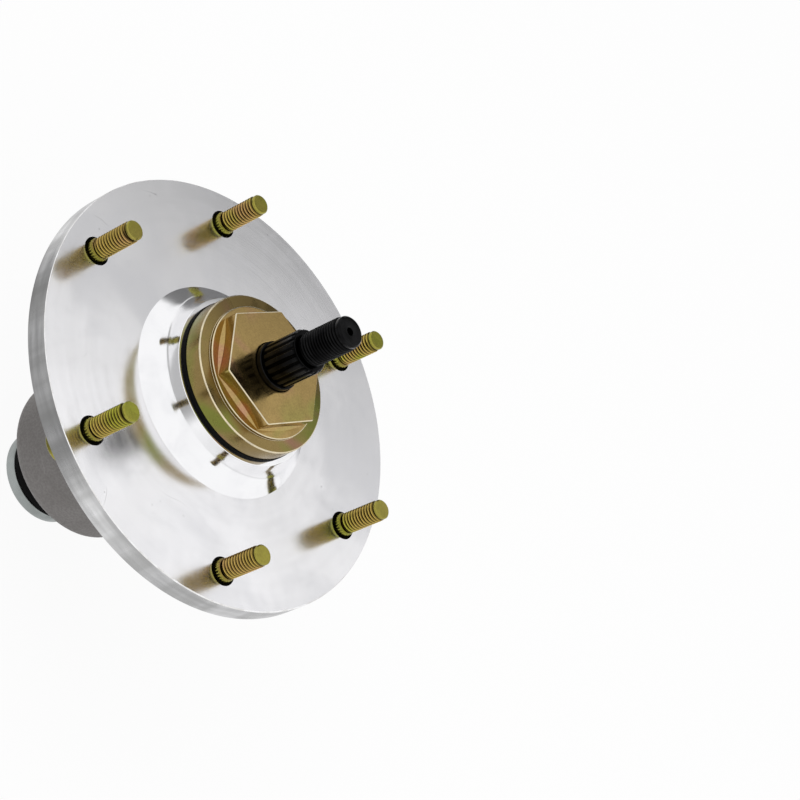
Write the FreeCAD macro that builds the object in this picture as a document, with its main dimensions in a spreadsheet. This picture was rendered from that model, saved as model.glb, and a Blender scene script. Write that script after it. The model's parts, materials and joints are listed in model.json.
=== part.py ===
import FreeCAD, Part
import math
import os
import Sketcher

# Mower deck spindle: a cast flange with six studs carries a splined shaft on two ball bearings.
# Millimetres. The shaft axis is Z, the blade seat is the plane z = 0 and the splined end points up.

doc = FreeCAD.newDocument("MowerDeckSpindle")

sizes = {
    "flange_margin": 12.7,
    "flange_thickness": 9.05,
    "flange_chamfer": 0.4,
    "boss_wall": 14.5,
    "boss_height": 11.8,
    "boss_lip": 6.0,
    "boss_lip_round": 0.5,
    "boss_knee_reach": 2.0,
    "boss_knee_drop": 6.5,
    "boss_flare": 10.0,
    "barrel_wall": 8.2,
    "barrel_length": 73.25,
    "barrel_foot": 2.2,
    "barrel_root_fillet": 5.0,
    "bore_edge_chamfer": 0.8,
    "core_relief": 2.0,
    "land_thickness": 4.0,
    "land_depth": 3.0,
    "inner_race_wall": 3.9,
    "race_inner_gap": 3.175,
    "race_outer_gap": 3.2,
    "outer_race_wall": 3.7,
    "bearing_half_width": 7.0,
    "race_edge_chamfer": 0.6,
    "ball_radius": 3.97,
    "ball_count": 8,
    "ball_play": 0.3,
    "pocket_play": 0.15,
    "cage_wall": 1.3,
    "cage_rail": 0.88,
    "shield_thickness": 1.2,
    "shield_inset": 0.4,
    "press_gap": 0.02,
    "running_gap": 0.3,
    "journal_radius": 9.525,
    "shoulder_step": 0.35,
    "shoulder_stand": 2.1,
    "shoulder_chamfer": 0.2,
    "spline_step": 0.775,
    "spline_length": 15.6,
    "spline_count": 18,
    "spline_cutter_radius": 0.75,
    "spline_cutter_stand": 0.1,
    "spline_chamfer": 1.0,
    "thread_step": 2.05,
    "thread_length": 16.4,
    "thread_chamfer": 0.7,
    "neck_depth": 0.75,
    "neck_length": 1.6,
    "end_step": 0.45,
    "end_length": 2.0,
    "end_chamfer": 0.6,
    "centre_radius": 1.5,
    "centre_depth": 4.0,
    "spacer_wall": 3.4,
    "collar_step": 2.475,
    "shaft_recess": 0.5,
    "blade_bolt_radius": 4.4,
    "blade_bolt_depth": 28.0,
    "blade_bolt_chamfer": 0.8,
    "hub_wall": 6.3,
    "hub_height": 4.9,
    "hub_chamfer": 0.8,
    "dust_gap": 14.5,
    "dust_ring_wall": 3.2,
    "dust_lip_reach": 5.6,
    "dust_lip_thickness": 1.6,
    "dust_body_height": 8.6,
    "seal_inset": 0.5,
    "lower_seal_height": 7.0,
    "lower_seal_stand": 0.7,
    "snap_ring_thickness": 1.6,
    "snap_ring_bite": 1.4,
    "snap_ring_width": 4.0,
    "snap_ring_angle": 325.0,
    "upper_seal_wall": 5.825,
    "upper_seal_height": 6.0,
    "nut_thread_margin": 2.5,
    "nut_lip_overlap": 2.7,
    "nut_top_wall": 3.0,
    "nut_engagement": 9.8,
    "nut_preload": 1.0,
    "nut_flange_reach": 3.95,
    "nut_flange_height": 7.1,
    "nut_flange_chamfer": 0.5,
    "nut_step_reach": 1.15,
    "nut_step_height": 1.3,
    "hex_corner_radius": 24.05,
    "hex_height": 5.6,
    "hex_turn": 51.5,
    "hex_chamfer": 0.35,
    "hex_foot": 0.95,
    "gasket_height": 1.4,
    "gasket_reach": 1.0,
    "stud_count": 6,
    "stud_circle_radius": 69.85,
    "stud_radius": 3.97,
    "stud_stand": 20.6,
    "stud_chamfer": 0.65,
    "stud_head_reach": 3.2,
    "stud_head_height": 6.9,
    "stud_head_chamfer": 0.7,
    "stud_shoulder_step": 0.33,
    "stud_shoulder_stand": 3.3,
    "stud_sink": 0.7,
}

# Radii, then levels up the axis, each a sum of the sizes.
sums = {
    "inner_land": "journal_radius + inner_race_wall",
    "ball_circle": "inner_land + race_inner_gap",
    "outer_land": "ball_circle + race_outer_gap",
    "bearing_radius": "outer_land + outer_race_wall",
    "barrel_radius": "bearing_radius + barrel_wall",
    "core_radius": "bearing_radius + core_relief",
    "land_radius": "bearing_radius - land_depth",
    "nut_thread_radius": "bearing_radius + nut_thread_margin",
    "nut_flange_radius": "nut_thread_radius + nut_flange_reach",
    "nut_step_radius": "hex_corner_radius + nut_step_reach",
    "boss_radius": "nut_thread_radius + boss_wall",
    "boss_lip_radius": "nut_thread_radius + boss_lip",
    "boss_knee_radius": "boss_lip_radius + boss_knee_reach",
    "flange_radius": "stud_circle_radius + flange_margin",
    "collar_radius": "journal_radius + collar_step",
    "hub_radius": "collar_radius + hub_wall",
    "shoulder_radius": "journal_radius - shoulder_step",
    "spline_radius": "shoulder_radius - spline_step",
    "thread_radius": "spline_radius - thread_step",
    "neck_radius": "thread_radius - neck_depth",
    "end_radius": "thread_radius - end_step",
    "upper_seal_radius": "shoulder_radius + upper_seal_wall",
    "shoulder_side": "stud_circle_radius + stud_radius + stud_shoulder_step",
    "cage_half_height": "ball_radius + pocket_play + cage_rail",
    "barrel_bottom": "hub_height + dust_gap",
    "flange_bottom": "barrel_bottom + barrel_length",
    "flange_top": "flange_bottom + flange_thickness",
    "boss_top": "flange_top + boss_height",
    "boss_knee": "boss_top - boss_knee_drop",
    "nut_flange_bottom": "boss_top + gasket_height",
    "nut_flange_top": "nut_flange_bottom + nut_flange_height",
    "hex_bottom": "nut_flange_top + nut_step_height",
    "hex_top": "hex_bottom + hex_height",
    "spline_bottom": "hex_top + shoulder_stand",
    "spline_top": "spline_bottom + spline_length",
    "thread_bottom": "spline_top + neck_length",
    "thread_top": "thread_bottom + thread_length",
    "shaft_top": "thread_top + end_length",
    "seal_bottom": "barrel_bottom + seal_inset",
    "seal_top": "seal_bottom + lower_seal_height",
    "ring_bottom": "seal_top + lower_seal_stand",
    "lower_bearing_bottom": "ring_bottom + snap_ring_thickness",
    "lower_bearing_middle": "lower_bearing_bottom + bearing_half_width",
    "lower_bearing_top": "lower_bearing_middle + bearing_half_width",
    "upper_bearing_top": "boss_top - nut_engagement",
    "upper_bearing_middle": "upper_bearing_top - bearing_half_width",
    "upper_bearing_bottom": "upper_bearing_middle - bearing_half_width",
    "clip_top": "upper_bearing_top + snap_ring_thickness",
    "upper_seal_top": "hex_top - nut_top_wall",
    "upper_seal_bottom": "upper_seal_top - upper_seal_height",
    "stud_top": "flange_top + stud_stand",
    "shoulder_top": "flange_top + stud_shoulder_stand",
    "head_bottom": "flange_bottom - stud_head_height",
}

sheet = doc.addObject("Spreadsheet::Sheet", "Sizes")
for row, (name, number) in enumerate(sizes.items(), start=1):
    sheet.set(f"A{row}", name)
    sheet.set(f"B{row}", str(number))
    sheet.setAlias(f"B{row}", name)
doc.recompute()

signs = {"+": 1, "-": -1}


def value(text):
    # The number that a sum of names stands for.
    total = 0.0
    sign = 1
    for word in text.split():
        if word in signs:
            sign = signs[word]
        elif word in sums:
            total += sign * value(sums[word])
        else:
            total += sign * sizes[word]
    return total


def bound(text):
    # The same sum as an expression on the sheet.
    words = []
    for word in text.split():
        if word in signs:
            words.append(word)
        elif word in sums:
            words.append("(" + bound(sums[word]) + ")")
        else:
            words.append("Sizes." + word)
    return " ".join(words)


def new_body(label):
    body = doc.addObject("PartDesign::Body", label)
    body.Label = label
    return body


def origin(body, role):
    return next(item for item in body.Origin.OriginFeatures if item.Role == role)


def attach(body, item, plane):
    item.AttachmentSupport = (origin(body, plane), [""])
    item.MapMode = "FlatFace"
    return item


def new_sketch(body, name, plane):
    return attach(body, body.newObject("Sketcher::SketchObject", name), plane)


def pin_point(sketch, geometry, point, across, up):
    # Ties one point to the sheet; an empty text puts it on that axis of the sketch.
    for kind, axis, text in (("DistanceX", -2, across), ("DistanceY", -1, up)):
        if text:
            rule = Sketcher.Constraint(kind, -1, 1, geometry, point, value(text))
            number = sketch.addConstraint(rule)
            sketch.setExpression(f"Constraints[{number}]", bound(text))
        else:
            sketch.addConstraint(Sketcher.Constraint("PointOnObject", geometry, point, axis))


def outline(body, name, corners):
    # A closed outline in the XZ plane through corners given as (radius, height) sums.
    sketch = new_sketch(body, name, "XZ_Plane")
    points = [FreeCAD.Vector(value(across), value(up), 0) for across, up in corners]
    count = len(points)
    for index in range(count):
        sketch.addGeometry(Part.LineSegment(points[index], points[(index + 1) % count]))
    for index in range(count):
        follower = (index + 1) % count
        sketch.addConstraint(Sketcher.Constraint("Coincident", index, 2, follower, 1))
    for index, (across, up) in enumerate(corners):
        pin_point(sketch, index, 1, across, up)
    return sketch


def circle_sketch(body, name, plane, across, up, radius):
    # One circle whose centre and radius are sums of sizes.
    sketch = new_sketch(body, name, plane)
    centre = FreeCAD.Vector(value(across), value(up), 0)
    sketch.addGeometry(Part.Circle(centre, FreeCAD.Vector(0, 0, 1), value(radius)))
    pin_point(sketch, 0, 3, across, up)
    rule = sketch.addConstraint(Sketcher.Constraint("Radius", 0, value(radius)))
    sketch.setExpression(f"Constraints[{rule}]", bound(radius))
    return sketch


def turn(body, name, sketch, kind, axis="V_Axis"):
    feature = body.newObject(kind, name)
    feature.Profile = sketch
    feature.ReferenceAxis = (sketch, [axis])
    feature.Angle = 360
    return feature


def turned(body, name, corners, kind="PartDesign::Revolution"):
    # A turned solid, or a turned cut, round the Z axis.
    return turn(body, name, outline(body, name + "Outline", corners), kind)


def turned_ring(label, inner, outer, bottom, top):
    body = new_body(label)
    turned(body, label + "Ring", [(inner, bottom), (outer, bottom), (outer, top), (inner, top)])
    return body


def repeated(body, name, feature, count):
    pattern = body.newObject("PartDesign::PolarPattern", name)
    pattern.Originals = [feature]
    pattern.Axis = (origin(body, "Z_Axis"), [""])
    pattern.Angle = 360
    pattern.setExpression("Occurrences", bound(count))
    body.Tip = pattern


def turned_at_studs(body, name, corners, kind):
    # A turned solid, or a turned cut, round the first stud's own axis, repeated at every stud.
    sketch = outline(body, name + "Outline", corners)
    foot = FreeCAD.Vector(value("stud_circle_radius"), 0, 0)
    head = FreeCAD.Vector(value("stud_circle_radius"), value("flange_top"), 0)
    axis = sketch.addGeometry(Part.LineSegment(foot, head), True)
    pin_point(sketch, axis, 1, "stud_circle_radius", "")
    pin_point(sketch, axis, 2, "stud_circle_radius", "flange_top")
    repeated(body, name + "Pattern", turn(body, name, sketch, kind, "Axis0"), "stud_count")


def circle_names(shape, radius, height):
    # The names of the edges of a shape that are circles of this radius at this height.
    names = []
    for number, edge in enumerate(shape.Edges, start=1):
        curve = edge.Curve
        if not isinstance(curve, Part.Circle):
            continue
        if math.isclose(curve.Radius, value(radius), abs_tol=1e-4):
            if math.isclose(curve.Center.z, value(height), abs_tol=1e-4):
                names.append(f"Edge{number}")
    return names


def eased(body, name, edges, size, kind="PartDesign::Fillet"):
    # Rounds or chamfers the circular edges given as (radius, height) sums.
    doc.recompute()
    base = body.Tip
    names = []
    for radius, height in edges:
        names += circle_names(base.Shape, radius, height)
    feature = body.newObject(kind, name)
    feature.Base = (base, names)
    feature.setExpression("Radius" if kind.endswith("Fillet") else "Size", bound(size))


def bevelled(body, name, height, size):
    # Chamfers the straight edges that lie at one height.
    doc.recompute()
    base = body.Tip
    names = []
    for number, edge in enumerate(base.Shape.Edges, start=1):
        level = all(math.isclose(end.Z, value(height), abs_tol=1e-4) for end in edge.Vertexes)
        if level and isinstance(edge.Curve, Part.Line):
            names.append(f"Edge{number}")
    feature = body.newObject("PartDesign::Chamfer", name)
    feature.Base = (base, names)
    feature.setExpression("Size", bound(size))


def make_housing():
    body = new_body("housing")
    turned(body, "Casting", [
        ("bearing_radius", "barrel_bottom"),
        ("barrel_radius", "barrel_bottom"),
        ("barrel_radius", "flange_bottom"),
        ("flange_radius", "flange_bottom"),
        ("flange_radius", "flange_top"),
        ("boss_radius", "flange_top"),
        ("boss_knee_radius", "boss_knee"),
        ("boss_lip_radius", "boss_top"),
        ("nut_thread_radius", "boss_top"),
        ("nut_thread_radius", "upper_bearing_top - nut_preload"),
        ("bearing_radius", "upper_bearing_top - nut_preload"),
        ("bearing_radius", "upper_bearing_bottom"),
        ("land_radius", "upper_bearing_bottom"),
        ("land_radius", "upper_bearing_bottom - land_thickness"),
        ("core_radius", "upper_bearing_bottom - land_thickness"),
        ("core_radius", "lower_bearing_top + land_thickness"),
        ("land_radius", "lower_bearing_top + land_thickness"),
        ("land_radius", "lower_bearing_top"),
        ("bearing_radius", "lower_bearing_top"),
        ("bearing_radius", "lower_bearing_bottom"),
        ("bearing_radius + snap_ring_bite", "lower_bearing_bottom"),
        ("bearing_radius + snap_ring_bite", "ring_bottom"),
        ("bearing_radius", "ring_bottom"),
    ])
    eased(body, "BossFlare", [("boss_knee_radius", "boss_knee")], "boss_flare")
    eased(body, "BossLip", [("boss_lip_radius", "boss_top")], "boss_lip_round")
    eased(body, "BarrelCorner", [("barrel_radius", "barrel_bottom")], "barrel_wall - barrel_foot")
    eased(body, "BarrelRoot", [("barrel_radius", "flange_bottom")], "barrel_root_fillet")
    rims = [("flange_radius", "flange_top"), ("flange_radius", "flange_bottom")]
    eased(body, "FlangeEdges", rims, "flange_chamfer", "PartDesign::Chamfer")
    mouth = [("bearing_radius", "barrel_bottom")]
    eased(body, "BoreEdge", mouth, "bore_edge_chamfer", "PartDesign::Chamfer")
    turned_at_studs(body, "StudHole", [
        ("stud_circle_radius", "flange_bottom"),
        ("shoulder_side + press_gap", "flange_bottom"),
        ("shoulder_side + press_gap", "flange_top - stud_sink"),
        ("shoulder_side + press_gap + stud_sink", "flange_top"),
        ("stud_circle_radius", "flange_top"),
    ], "PartDesign::Groove")
    return body


def make_studs():
    body = new_body("flange_studs")
    body.AllowCompound = True
    head = "shoulder_side + stud_head_reach"
    thread = "stud_circle_radius + stud_radius"
    turned_at_studs(body, "Stud", [
        ("stud_circle_radius", "head_bottom"),
        (head + " - stud_head_chamfer", "head_bottom"),
        (head, "head_bottom + stud_head_chamfer"),
        (head, "flange_bottom"),
        ("shoulder_side", "flange_bottom"),
        ("shoulder_side", "shoulder_top - stud_shoulder_step"),
        (thread, "shoulder_top"),
        (thread, "stud_top - stud_chamfer"),
        (thread + " - stud_chamfer", "stud_top"),
        ("stud_circle_radius", "stud_top"),
    ], "PartDesign::Revolution")
    return body


def make_nut():
    # A flanged hexagon nut that screws into the boss and holds the upper bearing down.
    body = new_body("retainer_nut")
    turned(body, "NutTurned", [
        ("", "upper_bearing_top"),
        ("nut_thread_radius - press_gap", "upper_bearing_top"),
        ("nut_thread_radius - press_gap", "nut_flange_bottom"),
        ("nut_flange_radius", "nut_flange_bottom"),
        ("nut_flange_radius", "nut_flange_top - nut_flange_chamfer"),
        ("nut_flange_radius - nut_flange_chamfer", "nut_flange_top"),
        ("nut_step_radius", "nut_flange_top"),
        ("nut_step_radius", "hex_bottom"),
        ("", "hex_bottom"),
    ])
    prism = body.newObject("PartDesign::AdditivePrism", "Hexagon")
    attach(body, prism, "XY_Plane")
    prism.Polygon = 6
    prism.setExpression("Circumradius", bound("hex_corner_radius"))
    prism.setExpression("Height", bound("hex_height"))
    prism.setExpression("AttachmentOffset.Base.z", bound("hex_bottom"))
    prism.AttachmentOffset.Rotation.Axis = FreeCAD.Vector(0, 0, 1)
    prism.setExpression("AttachmentOffset.Rotation.Angle", bound("hex_turn"))
    bevelled(body, "HexagonFoot", "hex_bottom", "hex_foot")
    bevelled(body, "HexagonEdges", "hex_top", "hex_chamfer")
    turned(body, "NutBore", [
        ("", "upper_bearing_top"),
        ("bearing_radius - nut_lip_overlap", "upper_bearing_top"),
        ("bearing_radius - nut_lip_overlap", "nut_flange_bottom"),
        ("upper_seal_radius", "upper_seal_bottom"),
        ("upper_seal_radius", "upper_seal_top"),
        ("shoulder_radius + running_gap", "upper_seal_top"),
        ("shoulder_radius + running_gap", "hex_top"),
        ("", "hex_top"),
    ], "PartDesign::Groove")
    return body


def make_shaft():
    body = new_body("shaft")
    turned(body, "ShaftTurned", [
        ("", "shaft_recess"),
        ("collar_radius", "shaft_recess"),
        ("collar_radius", "lower_bearing_bottom"),
        ("journal_radius", "lower_bearing_bottom"),
        ("journal_radius", "nut_flange_bottom"),
        ("shoulder_radius", "nut_flange_bottom"),
        ("shoulder_radius", "spline_bottom - shoulder_chamfer"),
        ("shoulder_radius - shoulder_chamfer", "spline_bottom"),
        ("spline_radius", "spline_bottom"),
        ("spline_radius", "spline_top - spline_chamfer"),
        ("spline_radius - spline_chamfer", "spline_top"),
        ("neck_radius", "spline_top"),
        ("neck_radius", "thread_bottom"),
        ("thread_radius", "thread_bottom + thread_chamfer"),
        ("thread_radius", "thread_top"),
        ("end_radius", "thread_top"),
        ("end_radius", "shaft_top - end_chamfer"),
        ("end_radius - end_chamfer", "shaft_top"),
        ("", "shaft_top"),
    ])
    turned(body, "ClipGroove", [
        ("journal_radius - snap_ring_bite", "upper_bearing_top"),
        ("journal_radius", "upper_bearing_top"),
        ("journal_radius", "clip_top"),
        ("journal_radius - snap_ring_bite", "clip_top"),
    ], "PartDesign::Groove")
    turned(body, "CentreHole", [
        ("", "shaft_top - centre_depth"),
        ("centre_radius", "shaft_top - centre_depth + centre_radius"),
        ("centre_radius", "shaft_top"),
        ("", "shaft_top"),
    ], "PartDesign::Groove")
    turned(body, "BladeBoltHole", [
        ("", "shaft_recess"),
        ("blade_bolt_radius + blade_bolt_chamfer", "shaft_recess"),
        ("blade_bolt_radius", "shaft_recess + blade_bolt_chamfer"),
        ("blade_bolt_radius", "shaft_recess + blade_bolt_depth"),
        ("", "shaft_recess + blade_bolt_depth + blade_bolt_radius"),
    ], "PartDesign::Groove")
    reach = "spline_radius + spline_cutter_stand"
    cutter = circle_sketch(body, "SplineCutter", "XY_Plane", reach, "", "spline_cutter_radius")
    cutter.setExpression("AttachmentOffset.Base.z", bound("spline_bottom"))
    slot = body.newObject("PartDesign::Pocket", "SplineSlot")
    slot.Profile = cutter
    slot.Reversed = True
    slot.setExpression("Length", bound("spline_length"))
    repeated(body, "Spline", slot, "spline_count")
    return body


def make_cage(label, middle):
    # A band round the ball circle, drilled radially for every ball.
    low = middle + " - cage_half_height"
    high = middle + " + cage_half_height"
    cage = turned_ring(label, "ball_circle - cage_wall", "ball_circle + cage_wall", low, high)
    pocket = cage.newObject("PartDesign::Pocket", label + "Pocket")
    pocket.Profile = circle_sketch(
        cage, label + "PocketCircle", "YZ_Plane", "", middle, "ball_radius + pocket_play"
    )
    pocket.Reversed = True
    pocket.setExpression("Length", bound("ball_circle + cage_wall + pocket_play"))
    repeated(cage, label + "Pockets", pocket, "ball_count")
    return cage


def make_bearing(place):
    # One sealed ball bearing: two races, a caged row of balls and a shield on each side.
    bottom = place + "_bearing_bottom"
    middle = place + "_bearing_middle"
    top = place + "_bearing_top"
    outside = "bearing_radius - press_gap"
    inside = "journal_radius + press_gap"
    outer = new_body(place + "_outer_race")
    turned(outer, place + "OuterTurned", [
        ("outer_land", bottom),
        (outside + " - race_edge_chamfer", bottom),
        (outside, bottom + " + race_edge_chamfer"),
        (outside, top + " - race_edge_chamfer"),
        (outside + " - race_edge_chamfer", top),
        ("outer_land", top),
    ])
    inner = new_body(place + "_inner_race")
    turned(inner, place + "InnerTurned", [
        (inside + " + race_edge_chamfer", bottom),
        ("inner_land", bottom),
        ("inner_land", top),
        (inside + " + race_edge_chamfer", top),
        (inside, top + " - race_edge_chamfer"),
        (inside, bottom + " + race_edge_chamfer"),
    ])
    for race in (outer, inner):
        track = circle_sketch(
            race, race.Label + "Ball", "XZ_Plane", "ball_circle", middle, "ball_radius + ball_play"
        )
        turn(race, race.Label + "Track", track, "PartDesign::Groove")
    pieces = [outer, inner, make_cage(place + "_cage", middle)]
    for index in range(sizes["ball_count"]):
        ball = doc.addObject("Part::Sphere", f"{place}_ball_{index + 1}")
        angle = f"(360 deg * {index} / Sizes.ball_count)"
        circle = "(" + bound("ball_circle") + ")"
        ball.setExpression("Radius", bound("ball_radius"))
        ball.setExpression("Placement.Base.x", f"{circle} * cos{angle}")
        ball.setExpression("Placement.Base.y", f"{circle} * sin{angle}")
        ball.setExpression("Placement.Base.z", bound(middle))
        pieces.append(ball)
    low = bottom + " + shield_inset"
    high = top + " - shield_inset - shield_thickness"
    for side, level in (("lower", low), ("upper", high)):
        pieces.append(turned_ring(
            f"{place}_bearing_{side}_shield",
            "inner_land + running_gap",
            "outer_land - press_gap",
            level,
            level + " + shield_thickness",
        ))
    return pieces


def make_split_ring(label, inner, outer, bottom):
    # A flat spring ring with its gap left open.
    body = turned_ring(label, inner, outer, bottom, bottom + " + snap_ring_thickness")
    body.Tip.setExpression("Angle", bound("snap_ring_angle"))
    return body


def make_dust_ring():
    # A rubber ring on the shaft collar whose flared lip runs under the lower seal.
    body = new_body("dust_ring")
    inner = "collar_radius + press_gap"
    lip = inner + " + dust_lip_reach"
    turned(body, "DustRing", [
        (inner, "hub_height"),
        (lip, "hub_height"),
        (lip, "hub_height + dust_lip_thickness"),
        (inner + " + dust_ring_wall", "hub_height + dust_body_height"),
        (lip, "seal_bottom - running_gap"),
        (lip + " - dust_lip_thickness", "seal_bottom - running_gap"),
        (inner, "hub_height + dust_body_height"),
    ])
    return body


def make_hub():
    # The ring under the barrel that the blade is clamped against.
    body = new_body("blade_hub")
    inner = "collar_radius + press_gap"
    turned(body, "Hub", [
        (inner, ""),
        ("hub_radius - hub_chamfer", ""),
        ("hub_radius", "hub_chamfer"),
        ("hub_radius", "hub_height - hub_chamfer"),
        ("hub_radius - hub_chamfer", "hub_height"),
        (inner, "hub_height"),
    ])
    return body


def make_rings():
    # The gasket, the two shaft seals, the spacer between the bearings and the two spring rings.
    gasket = turned_ring(
        "nut_gasket",
        "nut_thread_radius + press_gap",
        "nut_flange_radius + gasket_reach",
        "boss_top",
        "nut_flange_bottom",
    )
    upper_seal = turned_ring(
        "upper_shaft_seal",
        "shoulder_radius + running_gap",
        "upper_seal_radius - press_gap",
        "upper_seal_bottom",
        "upper_seal_top",
    )
    lower_seal = turned_ring(
        "lower_shaft_seal",
        "collar_radius + running_gap",
        "bearing_radius - press_gap",
        "seal_bottom",
        "seal_top",
    )
    spacer = turned_ring(
        "bearing_spacer",
        "journal_radius + press_gap",
        "journal_radius + spacer_wall",
        "lower_bearing_top",
        "upper_bearing_bottom",
    )
    bore = "journal_radius - snap_ring_bite + press_gap"
    edge = "bearing_radius + snap_ring_bite - press_gap"
    width = " snap_ring_width"
    shaft_clip = make_split_ring("shaft_clip", bore, bore + " +" + width, "upper_bearing_top")
    bore_clip = make_split_ring("bore_clip", edge + " -" + width, edge, "ring_bottom")
    return [gasket, upper_seal, lower_seal, spacer, shaft_clip, bore_clip]


pieces = [make_housing(), make_studs(), make_nut(), make_shaft(), make_hub(), make_dust_ring()]
pieces += make_rings()
pieces += make_bearing("lower")
pieces += make_bearing("upper")
doc.recompute()

for item in doc.Objects:
    if "Invalid" in item.State or "Error" in item.State:
        raise RuntimeError(f"{item.Label} did not build")
for piece in pieces:
    if piece.Shape.isNull() or not piece.Shape.isValid():
        raise RuntimeError(f"{piece.Label} has no valid shape")

os.makedirs("parts", exist_ok=True)
for piece in pieces:
    piece.Shape.exportStep(f"parts/{piece.Label}.step")
    print(piece.Label, len(piece.Shape.Solids), round(piece.Shape.Volume, 1))
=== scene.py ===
import json
import math
import bmesh
import bpy
from mathutils import Matrix, Vector, noise


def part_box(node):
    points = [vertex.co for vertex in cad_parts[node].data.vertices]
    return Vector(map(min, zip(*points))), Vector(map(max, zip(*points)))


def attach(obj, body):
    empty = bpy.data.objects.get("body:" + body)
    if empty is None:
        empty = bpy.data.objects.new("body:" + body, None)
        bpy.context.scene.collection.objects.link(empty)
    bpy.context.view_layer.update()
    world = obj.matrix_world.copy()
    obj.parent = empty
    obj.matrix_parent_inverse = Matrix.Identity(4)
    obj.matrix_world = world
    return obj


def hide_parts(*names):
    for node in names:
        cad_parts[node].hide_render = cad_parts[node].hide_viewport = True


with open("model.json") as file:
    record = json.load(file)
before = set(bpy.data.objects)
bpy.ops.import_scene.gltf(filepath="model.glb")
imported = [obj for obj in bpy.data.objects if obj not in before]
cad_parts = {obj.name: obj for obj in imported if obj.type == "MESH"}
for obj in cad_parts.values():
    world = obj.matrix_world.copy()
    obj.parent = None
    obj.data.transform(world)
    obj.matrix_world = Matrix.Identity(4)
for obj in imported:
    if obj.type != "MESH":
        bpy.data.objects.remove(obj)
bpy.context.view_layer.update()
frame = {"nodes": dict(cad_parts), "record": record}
mounts = {mount["name"]: mount for mount in frame["record"]["mounts"]}
mm = 0.001  # lengths below are millimetres, meshes are metres
print("frame loaded:", len(frame["nodes"]), "nodes")


def span(node):  # outer radius, lowest and highest level of a node round the shaft axis
    low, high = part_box(node)
    return high.x / mm, low.z / mm, high.z / mm


# mesh helpers

def ring(columns, radius, level):  # one loop of points, the first repeated at the end
    points = []
    for index in range(columns + 1):
        angle = math.tau * (index % columns) / columns
        r = radius(angle) if callable(radius) else radius
        z = level(angle) if callable(level) else level
        points.append((r * math.cos(angle), r * math.sin(angle), z))
    return points


def softened(profile, steps=4):  # points are (radius, level, round, slot): rounds become arcs
    made = []
    count = len(profile)
    for index, (r, z, size, slot) in enumerate(profile):
        if not size:
            made.append((r, z, slot))
            continue
        corner = Vector((r, z))
        before = Vector(profile[index - 1][:2]) - corner
        after = Vector(profile[(index + 1) % count][:2]) - corner
        half = before.angle(after) / 2
        start = corner + before.normalized() * size / math.tan(half)
        end = corner + after.normalized() * size / math.tan(half)
        pull = math.sin(half)  # weight that makes the curve a true arc
        for step in range(steps + 1):
            t = step / steps
            near, middle, far = (1 - t) ** 2, 2 * t * (1 - t) * pull, t ** 2
            point = (start * near + corner * middle + end * far) / (near + middle + far)
            made.append((point.x, point.y, slot))
    return made


def latheRows(columns, profile, steps=4):
    points = softened(profile, steps)
    return [ring(columns, r, z) for r, z, slot in points], [slot for r, z, slot in points]


toothShape = (  # one turn of a thread: share of the pitch, share of the depth
    (0.00, 0.90), (0.04, 1.00), (0.14, 1.00), (0.18, 0.90),
    (0.54, 0.08), (0.58, 0.00), (0.68, 0.00), (0.72, 0.08),
)


def threadRows(columns, bottom, top, pitch, outer, inner):
    rows = []
    for turn in range(-1, math.ceil((top - bottom) / pitch) + 1):
        for share, depth in toothShape:
            row = []
            for index in range(columns + 1):
                angle = math.tau * (index % columns) / columns
                z = bottom + pitch * (turn + share + index / columns)
                z = min(max(z, bottom), top)
                ends = min(z - bottom, top - z)  # both ends run out to the root
                r = inner + math.copysign(min(depth * abs(outer - inner), ends), outer - inner)
                row.append((r * math.cos(angle), r * math.sin(angle), z))
            rows.append(row)
    return rows


def addBands(mesh, rows, slots, closed=False):
    made = [[mesh.verts.new(Vector(point) * mm) for point in row] for row in rows]
    pairs = list(zip(made, made[1:], slots))
    if closed:
        pairs.append((made[-1], made[0], slots[-1]))
    for low, high, slot in pairs:
        for index in range(len(low) - 1):
            corners = (low[index], low[index + 1], high[index + 1], high[index])
            mesh.faces.new(corners).material_index = slot


def addFlat(mesh, loops, slot):  # fills a flat face between loops
    edges = []
    for loop in loops:
        verts = [mesh.verts.new(Vector(point) * mm) for point in loop[:-1]]
        edges += [mesh.edges.new((verts[i - 1], verts[i])) for i in range(len(verts))]
    filled = bmesh.ops.triangle_fill(mesh, use_beauty=True, edges=edges, normal=(0, 0, 1))
    for face in filled["geom"]:
        if isinstance(face, bmesh.types.BMFace):
            face.material_index = slot


meshLook = {
    "weld": 1e-7,  # metres between points that become one
    "sliver": 1e-8,
    "crease": 28,  # degrees past which an edge stays sharp
}


def finishMesh(name, mesh, materials, crease=meshLook["crease"]):
    bmesh.ops.remove_doubles(mesh, verts=mesh.verts, dist=meshLook["weld"])
    bmesh.ops.dissolve_degenerate(mesh, edges=mesh.edges, dist=meshLook["sliver"])
    loose = [vert for vert in mesh.verts if not vert.link_faces]
    bmesh.ops.delete(mesh, geom=loose, context="VERTS")
    bmesh.ops.recalc_face_normals(mesh, faces=mesh.faces)
    data = bpy.data.meshes.new(name)
    mesh.to_mesh(data)
    mesh.free()
    for material in materials:
        data.materials.append(material)
    data.shade_smooth()
    data.set_sharp_from_angle(angle=math.radians(crease))
    piece = bpy.data.objects.new(name, data)
    bpy.context.scene.collection.objects.link(piece)
    return piece


def lathe(name, corners, rounds, material, columns=128):  # one closed ring
    profile = [(r, z, size, 0) for (r, z), size in zip(corners, rounds)]
    mesh = bmesh.new()
    rows, slots = latheRows(columns, profile)
    addBands(mesh, rows, slots, closed=True)
    return finishMesh(name, mesh, [material])


# painted shade in thread and spline roots, reaching up the flanks
rootShadeLook = {
    "spread": 2.6,  # how soon a flank turns as dark as its root
    "clear": 0.2,  # keeps the crest free of the painted shade
}


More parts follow.
